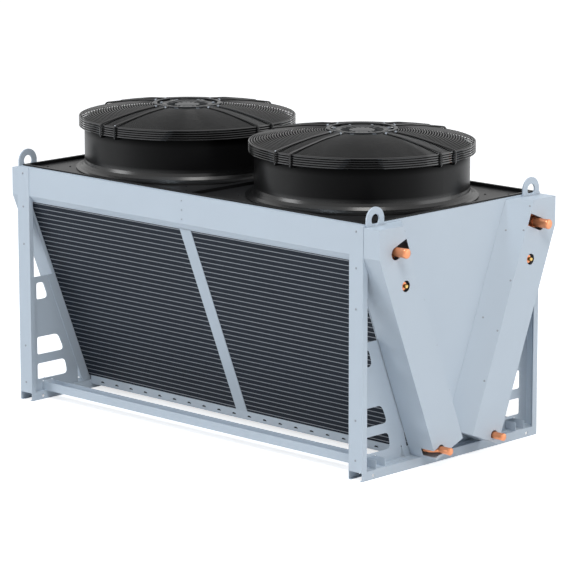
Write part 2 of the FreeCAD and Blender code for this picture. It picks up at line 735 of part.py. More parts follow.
nozzle_r = size["nozzle_radius"]
nozzle_t = size["nozzle_wall"]
spoke_side = size["guard_spoke_offset"]
guard_w = size["guard_wire"]
guard_r = nozzle_r + size["guard_reach"]
rim_z = deck_floor + size["nozzle_height"]
guard_foot = rim_z - size["guard_foot_drop"]
hub_mid = deck_floor + size["impeller_rise"]
for end, sx in ENDS:
    body = new_body("nozzle_" + end, "Fan nozzle, " + end)
    bend = size["nozzle_flare"]
    bend_z = deck_floor + size["nozzle_edge"] + bend
    outside = [(foot_r, deck_floor)]
    inside = []
    for step in (90.0, 67.5, 45.0, 22.5, 0.0):
        angle = math.radians(step)
        outside.append((nozzle_r + bend - bend * math.cos(angle), bend_z - bend * math.sin(angle)))
        thin = bend + nozzle_t
        if step < 80:
            inside.append((nozzle_r + bend - thin * math.cos(angle), bend_z - thin * math.sin(angle)))
    inside.insert(0, (foot_r - nozzle_t, bend_z - bend - nozzle_t))
    inside.insert(0, (foot_r - nozzle_t, deck_floor))
    bead = size["nozzle_bead"]
    bead_low = rim_z - size["nozzle_bead_height"]
    bead_points = [
        (nozzle_r, bead_low), (nozzle_r + bead, bead_low + bead), (nozzle_r + bead, rim_z),
        (nozzle_r - nozzle_t, rim_z),
    ]
    outer = outside + bead_points + inside[::-1]
    add_revolve(body, "nozzle_wall_" + end, [outer])
    body.Placement.Base.x = sx * fan_x.number
    bind(body, "Placement.Base.x", fan_x * sx)

    body = new_body("fan_guard_" + end, "Fan guard, " + end)
    rings = []
    low = rim_z - size["guard_rim_drop"]
    high = low + size["guard_rim_height"]
    rim_step = (high - low) / 3
    for index in range(4):
        z = low + rim_step * index
        rings.append(box_wire(guard_r - guard_w, z - guard_w, guard_r, z))
    crown = high + size["guard_rise"]
    hub_r = size["guard_hub_radius"]
    dome = 6
    for index in range(1, dome + 1):
        share = index / dome
        r = guard_r - guard_w / 2 - (guard_r - guard_w / 2 - hub_r) * share
        z = high + (crown - high) * (1 - (1 - share) ** 1.6)
        if index < dome:
            rings.append(box_wire(r - guard_w, z - guard_w, r, z))
        else:
            rings.append(box_wire(r - guard_w * 2, z - guard_w * 2, r, z))
    add_revolve(body, "guard_rings_" + end, rings)
    spoke = guard_w
    for index, (across, along) in enumerate(((1, 0), (-1, 0), (0, 1), (0, -1))):
        for offset in (-spoke_side, spoke_side):
            plane = "XZ" if across else "YZ"
            sign = across + along
            tag = end + "_" + str(index) + "_" + ("a" if offset.number < 0 else "b")
            path = [
                (guard_r - guard_w, guard_foot), (guard_r - guard_w, high),
                (guard_r - guard_w * 2, high + 3),
            ]
            for step in range(1, dome + 1):
                share = step / dome
                r = guard_r - guard_w / 2 - (guard_r - guard_w / 2 - hub_r) * share
                z = high + (crown - high) * (1 - (1 - share) ** 1.6)
                path.append((r - guard_w, z))
            back = [(r, z - guard_w * 1.2) for r, z in reversed(path[2:])]
            back[-1] = (guard_r - guard_w * 2, high - guard_w)
            back.append((guard_r - guard_w * 2, guard_foot))
            add_pad(body, "guard_spoke_" + tag, plane, offset - spoke / 2, spoke,
                    [mirror_u(sign, path + back)])
            seat = spoke_side - spoke / 2
            clip = box_wire(nozzle_r - seat * seat / (nozzle_r * 2), guard_foot,
                            guard_r - guard_w, guard_foot + size["guard_clip_height"])
            add_pad(body, "guard_clip_" + tag, plane, offset - spoke / 2, spoke,
                    [mirror_u(sign, clip)])
    body.Placement.Base.x = sx * fan_x.number
    bind(body, "Placement.Base.x", fan_x * sx)

    body = new_body("motor_" + end, "Fan motor and support, " + end)
    hub_half = size["impeller_hub_height"] / 2
    shaft = size["motor_shaft_radius"]
    motor_r = size["motor_radius"]
    stator_top = crown - guard_w * 2
    flange_r = size["motor_flange_radius"]
    stator_low = hub_mid + hub_half + size["motor_hub_gap"]
    shaft_low = hub_mid - hub_half - size["motor_shaft_reach"]
    flange_low = stator_top - size["motor_flange_wall"]
    recess = size["motor_cap_recess"]
    add_revolve(body, "motor_stator_" + end, [[
        (0, shaft_low), (shaft, shaft_low), (shaft, stator_low), (motor_r, stator_low), (motor_r, flange_low),
        (flange_r, flange_low), (flange_r, stator_top), (motor_r - recess / 2, stator_top),
        (motor_r - recess, stator_top - recess), (0, stator_top - recess),
    ]])
    body.Placement.Base.x = sx * fan_x.number
    bind(body, "Placement.Base.x", fan_x * sx)

    body = new_body("impeller_" + end, "Fan impeller, " + end)
    bore = shaft + size["shaft_clearance"]
    hub_r = size["impeller_hub_radius"]
    hub_low = hub_mid - hub_half
    hub_high = hub_mid + hub_half
    hub_t = size["impeller_hub_wall"]
    corner_r = size["impeller_hub_round"]
    boss_r = bore + size["impeller_boss_wall"]
    boss_high = hub_high - size["impeller_boss_drop"]
    add_revolve(body, "impeller_hub_" + end, [[
        (bore, hub_low), (hub_r - corner_r, hub_low), (hub_r, hub_low + corner_r), (hub_r, hub_high),
        (hub_r - hub_t, hub_high), (hub_r - hub_t, hub_low + corner_r + hub_t),
        (boss_r, hub_low + corner_r + hub_t), (boss_r, boss_high), (bore, boss_high),
    ]])
    tip_r = nozzle_r - nozzle_t - size["impeller_tip_gap"]
    thick = size["blade_wall"]
    sections = []
    stations = (
        (hub_r - 2, size["blade_root_chord"], size["blade_root_pitch"], as_size(0)),
        ((hub_r + tip_r) / 2, size["blade_middle_chord"], size["blade_middle_pitch"],
         size["blade_middle_sweep"]),
        (tip_r, size["blade_tip_chord"], size["blade_tip_pitch"], size["blade_tip_sweep"]),
    )
    for index, (radius, chord, pitch, sweep) in enumerate(stations):
        tilt = math.radians(pitch.number)
        half_run = chord * (math.cos(tilt) / 2)
        half_rise = chord * (math.sin(tilt) / 2)
        lift = thick * (math.cos(tilt) / 2)
        slide = thick * (math.sin(tilt) / 2)
        wire = [
            (sweep - half_run, hub_mid - half_rise), (sweep + slide, hub_mid - lift),
            (sweep + half_run, hub_mid + half_rise), (sweep - slide, hub_mid + lift),
        ]
        sections.append(add_sketch(body, "blade_section_" + end + "_" + str(index), "YZ", radius, [wire]))
    blade = body.newObject("PartDesign::AdditiveLoft", "blade_" + end)
    blade.Profile = sections[0]
    blade.Sections = sections[1:]
    blade.Ruled = True
    body.Tip = blade
    around = body.newObject("PartDesign::PolarPattern", "blades_" + end)
    around.Originals = [blade]
    around.Axis = (base_plane(body, "Z_Axis"), [""])
    around.Angle = 360.0
    around.Occurrences = int(size["blade_count"].number)
    bind(around, "Occurrences", size["blade_count"])
    body.Tip = around
    trim = add_sketch(body, "blade_trim_sketch_" + end, "XZ", 0, [
        box_wire(tip_r, hub_mid - hub_half * 2, tip_r + hub_half * 2, hub_mid + hub_half * 2)])
    groove = body.newObject("PartDesign::Groove", "blade_trim_" + end)
    groove.Profile = trim
    groove.ReferenceAxis = (trim, ["V_Axis"])
    groove.Angle = 360.0
    body.Tip = groove
    cuts.append((around, groove))
    body.Placement.Base.x = sx * fan_x.number
    bind(body, "Placement.Base.x", fan_x * sx)

# covers over the headers (right end) and over the return bends (left end)
tilt = root(run * run + incline * incline + 1)
base_x = end_x + gap
gas_z = frame_top - size["gas_stub_drop"]
gas_y = cover_inner(gas_z) + size["gas_stub_side"]
liquid_z = rail_top + size["liquid_stub_rise"]
liquid_y = cover_outer(liquid_z) - size["liquid_stub_side"]


def cover_ring(shift, skin):
    """Outline of a cover with its inner side moved by shift and a skin taken off all round."""
    shift = as_size(shift)
    skin = as_size(skin)
    top = cover_top - skin
    knee = size["coil_foot_z"] + (
        post_y - size["cover_side"] - size["coil_foot_y"] + skin * (lean - 1)) / run
    foot = cover_low + skin * (run + 1) / lean
    heel = cover_low + (skin * lean + (cover_width + shift - skin * tilt) * run) / (lean * lean)
    inset = shift - skin * tilt
    return [
        (post_y - skin, top), (post_y - skin, knee), (cover_outer(foot) - skin * lean, foot),
        (cover_inner(heel) - inset, heel), (cover_inner(top) - inset, top),
    ]


def add_loft(body, name, kind, sx, stations, sy):
    sketches = []
    for index, (x, wire) in enumerate(stations):
        sketches.append(add_sketch(body, name + "_section_" + str(index), "YZ", x * sx, [mirror_u(sy, wire)]))
    before = body.Tip
    loft = body.newObject("PartDesign::" + kind + "Loft", name)
    loft.Profile = sketches[0]
    loft.Sections = sketches[1:]
    loft.Ruled = True
    body.Tip = loft
    if kind == "Subtractive":
        cuts.append((before, loft))


for end, sx in ENDS:
    face_x = end_x + (size["cover_reach_right"] if sx > 0 else size["cover_reach_left"])
    name = "header_cover_" if sx > 0 else "return_cover_"
    title = "Header cover, " if sx > 0 else "Return bend cover, "
    strip = (face_x - base_x) * incline
    for side, sy in SIDES:
        tag = end + "_" + side
        body = new_body(name + side, title + side)
        add_loft(body, "cover_block_" + tag, "Additive", sx, [
            (base_x, cover_ring(strip, 0)), (face_x, cover_ring(0, 0))], sy)
        add_loft(body, "cover_hollow_" + tag, "Subtractive", sx, [
            (base_x - 1, cover_ring(strip + incline, wall)),
            (face_x - wall, cover_ring(wall * incline, wall))], sy)
        middle_gap = size["cover_middle_gap"]
        if (cover_ring(strip, 0)[3][0] - middle_gap).number < 0:
            start, depth = span(sx, base_x - 1, face_x + 1)
            add_pocket(body, "cover_middle_" + tag, "YZ", start, depth, [mirror_u(sy, box_wire(
                -strip, cover_low, middle_gap, cover_top - wall))])
        skirt = size["cover_skirt_top"]
        heel_y = cover_inner(cover_heel)
        turn_up = [
            (cover_outer(skirt), skirt), cover_ring(0, 0)[2], (heel_y, cover_heel),
            moved(heel_y, cover_heel, 0, wall), cover_ring(0, wall)[2],
            (cover_outer(skirt) - wall * lean, skirt),
        ]
        start, depth = span(sx, gusset_out + gap, base_x)
        add_pad(body, "cover_skirt_" + tag, "YZ", start, depth, [mirror_u(sy, turn_up)])
        room = size["cover_lug_room"]
        relief = box_wire(lug_y - size["lug_radius"] - room, cover_top - wall * 2,
                          lug_y + size["lug_radius"] + room, cover_top + 1)
        start, depth = span(sx, end_x - 1, end_x + size["lug_wall"] + room)
        add_pocket(body, "cover_lug_relief_" + tag, "YZ", start, depth, [mirror_u(sy, relief)])
        if sx > 0:
            hole_y, hole_z = moved(gas_y, gas_z, size["gas_hole_side"], -size["gas_hole_drop"])
            half = size["gas_hole_radius"]
            reach = (hole_y - cover_inner(hole_z)) / lean - wall * tilt
            add_pocket(body, "gas_hole_" + tag, "YZ", face_x - wall - 1, wall + 2, [],
                       [(hole_y * sy, hole_z, half)])
            add_pocket(body, "gas_slot_" + tag, "YZ", face_x - wall - 1, wall + 2, [mirror_u(sy, [
                moved(hole_y, hole_z, 0, -half), moved(hole_y, hole_z, 0, half),
                moved(hole_y, hole_z, -reach, half), moved(hole_y, hole_z, -reach, -half)])])
            valve_z = gas_z - size["valve_drop"]
            valve_y = gas_y - size["valve_drop"] * run + size["valve_side"]
            add_pocket(body, "valve_hole_" + tag, "YZ", face_x - wall - 1, wall + 2, [],
                       [(valve_y * sy, valve_z, size["valve_hole_radius"])])
            add_pocket(body, "liquid_hole_" + tag, "YZ", face_x - wall - 1, wall + 2, [],
                       [(liquid_y * sy, liquid_z, size["liquid_hole_radius"])])
            half = size["liquid_slot_half"]
            reach = size["liquid_stub_side"] + size["liquid_hole_radius"]
            add_pocket(body, "liquid_slot_" + tag, "YZ", face_x - size["liquid_slot_depth"],
                       size["liquid_slot_depth"] + 1, [mirror_u(sy, [
                           moved(liquid_y, liquid_z, 0, -half), moved(liquid_y, liquid_z, reach, -half),
                           moved(liquid_y, liquid_z, reach, half), moved(liquid_y, liquid_z, 0, half)])])

# pipework: closed headers with sockets, capped stubs and the feeds from the coil


def add_pipe(radius, start, end):
    way = end.sub(start)
    return Part.makeCylinder(radius.number, way.Length, start, way)


def add_header(name, label, sy, pipe, radius, x, y, z, low, high, feed, feed_low, feed_count):
    """A header along the coil through (x, y, z), with its stub, the stub's socket and its feeds."""

    def on_line(depth, height):
        return FreeCAD.Vector(depth.number, sy * (y + (height - z) * run).number, height.number)

    middle = on_line(x, z)
    socket_end = FreeCAD.Vector((x + size["socket_reach"]).number, middle.y, middle.z)
    stub_end = FreeCAD.Vector(
        (end_x + size["cover_reach_right"] + size["stub_reach"]).number, middle.y, middle.z)
    solid = add_pipe(radius, on_line(x, low), on_line(x, high))
    solid = solid.fuse(add_pipe(pipe + size["socket_wall"], middle, socket_end))
    solid = solid.fuse(add_pipe(pipe, middle, stub_end))
    if low.number == z.number:
        solid = solid.fuse(Part.makeSphere((pipe + size["socket_wall"]).number, middle))
    for index in range(feed_count):
        height = feed_low + size["feed_pitch"] * index
        solid = solid.fuse(add_pipe(feed, on_line(coil_x + plate, height), on_line(x, height)))
    item = doc.addObject("Part::Feature", name)
    item.Label = label
    item.Shape = solid.removeSplitter()
    nodes.append(item)


for side, sy in SIDES:
    add_header("gas_header_" + side, "Gas header with connection stub, " + side, sy,
               size["gas_pipe_radius"], size["gas_header_radius"], end_x + size["gas_header_reach"],
               gas_y, gas_z, size["gas_header_bottom"], gas_z + size["gas_header_overrun"],
               size["gas_feed_radius"], size["gas_feed_low"], 6)
    add_header("liquid_header_" + side, "Liquid header with connection stub, " + side, sy,
               size["liquid_pipe_radius"], size["liquid_pipe_radius"], end_x + size["liquid_header_reach"],
               liquid_y, liquid_z, liquid_z, liquid_z + size["liquid_header_length"],
               size["liquid_feed_radius"], size["liquid_feed_low"], 5)

doc.recompute()

for before, after in cuts:
    if not after.Shape.Volume < before.Shape.Volume - 0.5:
        raise RuntimeError("the pocket " + after.Name + " removes nothing")

for item in doc.Objects:
    if "Invalid" in item.State or "Error" in item.State:
        raise RuntimeError(item.Name + " is " + str(item.State))

for node in nodes:
    shape = node.Shape
    if shape.isNull() or not shape.isValid():
        raise RuntimeError(node.Name + " has no valid shape")
    shape.exportStep("parts/" + node.Name + ".step")

print(len(nodes), "parts written")
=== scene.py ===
import math

import bmesh
import bpy
from mathutils import Matrix, Vector


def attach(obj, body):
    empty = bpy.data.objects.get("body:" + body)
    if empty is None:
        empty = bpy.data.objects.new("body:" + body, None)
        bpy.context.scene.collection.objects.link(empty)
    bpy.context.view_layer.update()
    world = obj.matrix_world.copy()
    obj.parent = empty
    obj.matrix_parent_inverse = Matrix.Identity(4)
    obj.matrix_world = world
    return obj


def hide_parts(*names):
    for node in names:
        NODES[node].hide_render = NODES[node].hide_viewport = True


bl_info = {
    "name": "V-Type Condenser",
    "version": (1, 0, 0),
    "blender": (4, 5, 0),
    "location": "View3D > Sidebar > Condenser",
    "description": "Dresses a two-fan condenser with sloping coils, copper stubs and wire guards",
    "category": "Object",
}

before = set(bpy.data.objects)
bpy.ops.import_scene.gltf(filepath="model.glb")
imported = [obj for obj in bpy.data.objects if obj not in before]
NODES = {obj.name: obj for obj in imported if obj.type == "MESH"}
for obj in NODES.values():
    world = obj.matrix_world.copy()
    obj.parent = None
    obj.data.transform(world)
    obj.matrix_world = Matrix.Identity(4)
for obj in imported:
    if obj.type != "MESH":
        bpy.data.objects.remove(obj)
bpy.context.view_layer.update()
ENDS = ("left", "right")
SIDES = ("front", "rear")

# places and slopes on the CAD frame, in metres
END_X = 1.100
SIDE_Y = 0.5825
COIL_FOOT_Y = 0.2051
COIL_FOOT_Z = 0.0678
COIL_RUN = 0.39759919
ROW_START = 0.064
ROW_PITCH = 0.0236025
COVER_WIDTH = 0.189
COVER_INCLINE = 0.93
COVER_FACE = {"right": 1.193, "left": 1.137}
NOZZLE_WALL = 0.481
NOZZLE_TOP = 1.338
FLARE_TOP = 1.175
GAS_STUB = (0.4689348, 1.003, 0.021)
LIQUID_STUB = (0.1780363, 0.086, 0.016)
STUB_END = 1.250
VALVE = (0.412, 0.846)
DECK_FLOOR = 1.110
UP = (0, 0, 1)

# the bands of the nozzles' and coils' finishes: the painted shadow under the guards' rims, the
# glossy flare, the fins, the pale tube rows and the painted shade in the gaps between fins, the
# last two as shares of a pitch
RIM_SHADOW_RAMP = 0.030
FLARE_FADE = 0.025
FIN_PITCH = 0.0021
ROW_HALF = 0.082
FIN_GAP_HALF = 0.25

# hoops: those stacked in the rim, the curve of the dome, and how finely each is made
RIM_HOOPS = 5
DOME_CURVE = 1.6
WIRE_SIDES = 8
HOOP_SEGMENTS = 120
SMALL_HOOP = 0.30
SMALL_HOOP_SEGMENTS = 88

# a radial wire: how far its middle stands off the hoops and off the rim's top, as shares of its
# radius, then its bends, and its way over the dome to the hub ring, as (distance from the fan's
# axis, distance to the side) points
SPOKE_SEAT = 0.85
SPOKE_LIFT = 0.9
SPOKE_BEND = 0.016
SPOKE_SIDE = 0.046
SPOKE_DOME = ((0.40, 0.042), (0.28, 0.036))
SPOKE_CROWN = (0.172, 0.031)
SPOKE_END = (0.150, 0.030)
SPOKE_END_HEIGHT = 1.4105

# the clips on the radial wires, just outside the hub ring
CLIP_ENDS = (0.171, 0.181)
CLIP_MIDDLE = 0.176
CLIP_SIDE = 0.0318
CLIP_GIRTH = 1.35

# hub ring, motor cap and its ribs, as (radius, height) points on the fans' axes
HUB_RING = ((0.143, 1.4095), (0.143, 1.4125), (0.1460, 1.4140),
            (0.1570, 1.4140), (0.160, 1.4125), (0.160, 1.4095))
MOTOR_CAP = ((0.001, 1.4060), (0.046, 1.4058), (0.060, 1.4035), (0.094, 1.4040),
             (0.106, 1.4085), (0.114, 1.4088), (0.1185, 1.4065), (0.1185, 1.4020))
CAP_RIB = ((0.058, 1.4045), (0.097, 1.4050))
CAP_RIB_WIRE = 0.0018
CAP_RIBS = 18
CAP_SCREWS = 8
CAP_SCREW_CIRCLE = 0.1305
CAP_SCREW_SEAT = 1.402
CAP_SCREW_RADIUS = 0.0085
CAP_SCREW_HEIGHT = 0.006

# valve and its sleeve, as (radius, place along the unit) points
VALVE_BODY = ((0.0075, 1.152), (0.0075, 1.166), (0.0115, 1.1665), (0.0115, 1.178),
              (0.0085, 1.1785), (0.0085, 1.196), (0.0070, 1.1985))
VALVE_SLEEVE = ((0.0160, 1.150), (0.0195, 1.151), (0.0195, 1.1800),
                (0.0180, 1.1822), (0.0120, 1.1826))
SLEEVE_SHIFT = 0.002

# stub cap, as (beyond the stub's radius, beyond its end) points, then the middle of its top
STUB_CAP = ((-0.001, -0.012), (0.0008, -0.011), (0.0010, -0.003),
            (-0.0015, 0.0010), (-0.0060, 0.0024))
STUB_CAP_TOP = (0.3, 0.0030)

# liquid tail: its path on the rear side, its bends and its radius
LIQUID_TAIL = ((1.119, 0.2045, 0.0790), (1.150, 0.2040, 0.0790),
               (1.176, 0.1960, 0.0820), (1.190, 0.1840, 0.0850))
TAIL_BEND = 0.014
TAIL_RADIUS = 0.0095

# screw heads: height to radius, corners and flats of the hexagon to the flange, and the
# smaller heads as shares of a usual head's radius and height
HEAD_RISE = 0.55
HEAD_CORNER = 0.74
HEAD_FLAT = 0.66
JOINT_HEAD = (0.65, 0.5)
COVER_HEAD = (0.9, 0.5)

# heights of the screws, (place along the unit, height) of those on the covers, and the distance
# of those on the decks from the fans' axes
POST_INSET = 0.040
POST_SCREWS = (0.088, 0.265, 0.753, 0.931, 1.089)
BEAM_JOINT_SCREWS = (1.006, 1.048, 1.090)
COVER_SCREWS = {
    "right": ((1.1845, 1.084), (1.1845, 0.981), (1.1845, 0.767), (1.1845, 0.554),
              (1.1845, 0.341), (1.1270, 0.981), (1.1270, 0.610)),
    "left": ((1.119, 0.981), (1.119, 0.767), (1.119, 0.554), (1.119, 0.341)),
}
DECK_SCREW_REACH = (0.550, 0.655)

# the drain louvres: half width, rise, height of the back edge and of the front, reach outward
LOUVRE_PITCH = 0.0985
LOUVRE_PLACES = [(index + 0.5) * LOUVRE_PITCH for index in range(-10, 10)]
LOUVRE_HALF = 0.0125
LOUVRE_RISE = 0.0075
LOUVRE_BACK = 0.043
LOUVRE_FRONT = 0.041
LOUVRE_REACH = 0.0042
LOUVRE_SEAT = 0.0002
LOUVRE_STEPS = 10

# the flat black sheets below them, painted as the shade inside the slots: half width, straight
# edge, height and rise of the arch
SLOT_HALF = 0.0115
SLOT_EDGE = 0.0385
SLOT_ARCH = 0.041
SLOT_RISE = 0.006
SLOT_SEAT = 0.0003
SLOT_STEPS = 8

# the camera, solved from the frame's edges, and the lamps: place, width, height, watts, colour
CAMERA_PLACE = (10.3825, -10.6624, 3.6908)
CAMERA_AZIMUTH = math.radians(44.030)
CAMERA_ELEVATION = math.radians(11.649)
CAMERA_ROLL = math.radians(-0.056)
CAMERA_LENS = 208.93
FLOOR_GLOW = 0.70
SKY_LIGHT = 0.42
LAMP_AIM = Vector((0, 0, 0.6))
LAMPS = {
    "key_softbox": ((5.2, -3.9, 8.6), 3.4, 3.4, 352.0, (1.0, 0.99, 0.97)),
    "left_softbox": ((-6.2, -8.8, 2.8), 4.0, 3.0, 250.0, (0.98, 0.99, 1.0)),
    "right_softbox": ((6.8, 4.5, 2.6), 6.0, 4.6, 153.0, (0.98, 0.99, 1.0)),
    "top_softbox": ((-0.6, -2.1, 7.5), 1.1, 1.1, 180.0, (0.78, 0.89, 1.0)),
}

# the Mix node's sockets for colours
MIX_FACTOR = 0
MIX_LOW = 6
MIX_HIGH = 7
MIX_RESULT = 2


def sign_of(name):
    """-1 for the left end and the front side, 1 for the right end and the rear."""
    return -1.0 if name in ("left", "front") else 1.0


class Field:
    """A socket or number in a node tree. Arithmetic on it adds Math nodes."""

    def __init__(self, finish, socket):
        self.finish = finish
        self.socket = socket

    def maths(self, operation, *values):
        node = self.finish.node("ShaderNodeMath", {"operation": operation}, dict(enumerate(values)))
        return Field(self.finish, node.outputs[0])

    def __add__(self, other):
        return self.maths("ADD", self, other)

    def __radd__(self, other):
        return self.maths("ADD", other, self)

    def __sub__(self, other):
        return self.maths("SUBTRACT", self, other)

    def __rsub__(self, other):
        return self.maths("SUBTRACT", other, self)

    def __mul__(self, other):
        return self.maths("MULTIPLY", self, other)

    def __rmul__(self, other):
        return self.maths("MULTIPLY", other, self)

    def __truediv__(self, other):
        return self.maths("DIVIDE", self, other)

    def __rtruediv__(self, other):
        return self.maths("DIVIDE", other, self)

    def __gt__(self, other):
        return self.maths("GREATER_THAN", self, other)

    def __lt__(self, other):
        return self.maths("LESS_THAN", self, other)

    def fraction(self):
        return self.maths("FRACT", self)

    def distance(self):
        return self.maths("ABSOLUTE", self)

    def clamped(self):
        node = self.finish.node("ShaderNodeClamp", {}, {"Value": self})
        return Field(self.finish, node.outputs[0])


class Weave:
    """A node tree. Its node method sets a node's settings first and its sockets after."""

    def __init__(self, tree):
        self.tree = tree

    def node(self, kind, settings, sockets):
        made = self.tree.nodes.new(kind)
        for key, value in settings.items():
            setattr(made, key, value)
        for key, value in sockets.items():
            self.set(made.inputs[key], value)
        return made

    def set(self, socket, value):
        if isinstance(value, Field):
            self.tree.links.new(value.socket, socket)
        elif isinstance(value, bpy.types.NodeSocket):
            self.tree.links.new(value, socket)
        else:
            socket.default_value = value

    def backdrop(self):
        """1 for camera, glossy and transmission rays, which see the studio's white."""
        path = self.node("ShaderNodeLightPath", {}, {})
        rays = [Field(self, path.outputs[name])
                for name in ("Is Camera Ray", "Is Glossy Ray", "Is Transmission Ray")]
        return (rays[0] + rays[1] + rays[2]).clamped()

    def show(self, shader, output):
        self.tree.links.new(shader.outputs[0], self.tree.nodes[output].inputs["Surface"])


class Finish(Weave):
    """One material, made round its own principled shader."""

    def __init__(self, name):
        self.material = bpy.data.materials.new(name)
        self.material.use_nodes = True
        super().__init__(self.material.node_tree)
        self.shader = self.tree.nodes["Principled BSDF"]

    def shade(self, **values):
        """Sets the shader's sockets, named with underscores for their spaces."""
        for key, value in values.items():
            self.set(self.shader.inputs[key.replace("_", " ")], value)

    def place(self):
        """Object coordinates in metres, as three fields."""
        coordinates = self.node("ShaderNodeTexCoord", {}, {})
        split = self.node("ShaderNodeSeparateXYZ", {}, {0: coordinates.outputs["Object"]})
        return [Field(self, socket) for socket in split.outputs]

    def grain(self, scale, detail=3.0):
        """Cloudy noise, scale clouds to the metre."""
        coordinates = self.node("ShaderNodeTexCoord", {}, {})
        noise = self.node("ShaderNodeTexNoise", {}, {
            "Vector": coordinates.outputs["Object"], "Scale": scale, "Detail": detail})
        return Field(self, noise.outputs["Fac"])

    def facing(self):
        """0 where the surface faces the eye, 1 at its edges."""
        weight = self.node("ShaderNodeLayerWeight", {}, {"Blend": 0.5})
        return Field(self, weight.outputs["Facing"])

    def blend(self, amount, low, high):
        """The colour low where amount is 0, high where it is 1."""
        mixed = self.node("ShaderNodeMix", {"data_type": "RGBA"}, {
            MIX_FACTOR: amount, MIX_LOW: low, MIX_HIGH: high})
        return mixed.outputs[MIX_RESULT]

    def relief(self, height, distance, strength):
        """Raises the surface by distance metres where height is 1."""
        bump = self.node("ShaderNodeBump", {}, {
            "Strength": strength, "Distance": distance, "Height": height})
        self.set(self.shader.inputs["Normal"], bump.outputs["Normal"])


def linear(red, green, blue):
    """A colour given on the 0 to 255 scale, as linear light."""
    def one(value):
        share = value / 255.0
        return share / 12.92 if share <= 0.04045 else ((share + 0.055) / 1.055) ** 2.4
    return (one(red), one(green), one(blue), 1.0)


def tinted(color, share):
    """A property's colour, lighter or darker by a share."""
    return tuple(value * share for value in color) + (1.0,)


def pale_housing(colors):
    """Satin powder coat: fine orange peel and a faint cloudiness."""
    finish = Finish("pale_housing_coat")
    cloud = finish.grain(2.2)
    speck = finish.grain(900.0, 2.0)
    tone = (cloud * 0.8 + speck * 0.2).clamped()
    color = colors.housing_color
    finish.shade(Base_Color=finish.blend(tone, tinted(color, 0.94), tinted(color, 1.03)),
                 Roughness=cloud * 0.10 + 0.38)
    finish.shade(Specular_IOR_Level=0.35)
    finish.relief(speck, 0.00012, 0.35)
    return finish.material


def black_sheet(colors):
    """Dull black coat of the deck trays, with a fine leathery texture."""
    finish = Finish("black_deck_coat")
    cloud = finish.grain(5.0, 4.0)
    speck = finish.grain(1400.0, 2.0)
    color = colors.deck_color
    finish.shade(Base_Color=finish.blend(cloud, tinted(color, 0.75), tinted(color, 1.2)),
                 Roughness=cloud * 0.12 + 0.34)
    finish.shade(Specular_IOR_Level=0.16)
    finish.relief(speck, 0.00008, 0.3)
    return finish.material


def nozzle_coat(colors):
    """Smoother black of the formed nozzles, glossier on the flare, with a painted shadow under the
    guard's rim, where the base colour turns nearly black and the coat fades out.
    """
    finish = Finish("black_nozzle_coat")
    cloud = finish.grain(3.0, 4.0)
    speck = finish.grain(1100.0, 2.0)
    color = colors.deck_color
    height = finish.place()[2]
    # painted shadow of the guard's rim: 0 in the band just under the rim, rising to 1 lower down
    outside_painted_rim_shadow = ((NOZZLE_TOP - height) / RIM_SHADOW_RAMP - 1.2).clamped()
    flared = ((FLARE_TOP - height) / FLARE_FADE).clamped()
    facing = finish.facing()
    away = 1.0 - facing
    satin = finish.blend(cloud, tinted(color, 0.32), tinted(color, 0.6))
    # the nearly black colour is painted shadow in the band under the guard's rim; the coat fades
    # out there too
    finish.shade(Base_Color=finish.blend(outside_painted_rim_shadow, (0.0008, 0.0008, 0.0008, 1), satin),
                 Roughness=cloud * 0.10 + 0.26,
                 Coat_Weight=((facing * outside_painted_rim_shadow * 1.3 + flared) * away).clamped())
    finish.shade(Specular_IOR_Level=0.03, Coat_Roughness=0.25)
    finish.relief(speck, 0.00006, 0.3)
    return finish.material


def black_wire(colors):
    """Dipped black coat of the guards' wires, which shines along their shoulders."""
    finish = Finish("black_wire_coat")
    cloud = finish.grain(30.0, 2.0)
    color = colors.guard_color
    facing = finish.facing()
    away = 1.0 - facing
    finish.shade(Base_Color=finish.blend(cloud, tinted(color, 0.7), tinted(color, 1.2)),
                 Roughness=cloud * 0.08 + 0.15,
                 Coat_Weight=(facing * away * away * away * 13.0).clamped())
    finish.shade(Specular_IOR_Level=0.1, Coat_Roughness=0.06)
    finish.relief(finish.grain(2500.0, 1.0), 0.00004, 0.15)
    return finish.material


def blade_plastic():
    """Moulded black plastic of the impellers."""
    finish = Finish("black_blade_plastic")
    cloud = finish.grain(8.0)
    finish.shade(Base_Color=finish.blend(cloud, (0.010, 0.011, 0.012, 1), (0.020, 0.022, 0.024, 1)),
                 Roughness=cloud * 0.15 + 0.34)
    finish.shade(Specular_IOR_Level=0.3)
    finish.relief(finish.grain(1200.0, 2.0), 0.0001, 0.4)
    return finish.material


def coil_rows():
    """Dark coated fins edge-on, with paler tube rows standing out of them and painted shade in the
    gaps between the fins.
    """
    finish = Finish("coil_fins_and_rows")
    along, _, height = finish.place()
    row = ((height - ROW_START) / ROW_PITCH).fraction()
    pale = (row - 0.5).distance() < ROW_HALF
    fin = (along / FIN_PITCH).fraction()
    fin_gap = (fin - 0.5).distance() < FIN_GAP_HALF
    dust = finish.grain(14.0, 5.0)
    # the gaps between the fins are painted darker, as shade in the recesses
    fins_with_painted_gap_shade = finish.blend(fin_gap, (0.0215, 0.027, 0.038, 1), (0.0155, 0.0192, 0.027, 1))
    dusty = finish.blend(dust * 0.35, fins_with_painted_gap_shade, (0.038, 0.045, 0.056, 1))
    finish.shade(Base_Color=finish.blend(pale, dusty, (0.285, 0.305, 0.335, 1)),
                 Metallic=pale * 0.2, Roughness=0.62 - pale * 0.17)
    finish.shade(Specular_IOR_Level=0.08)
    finish.relief(fin_gap * (1.0 - pale), 0.0003, 0.15)
    return finish.material


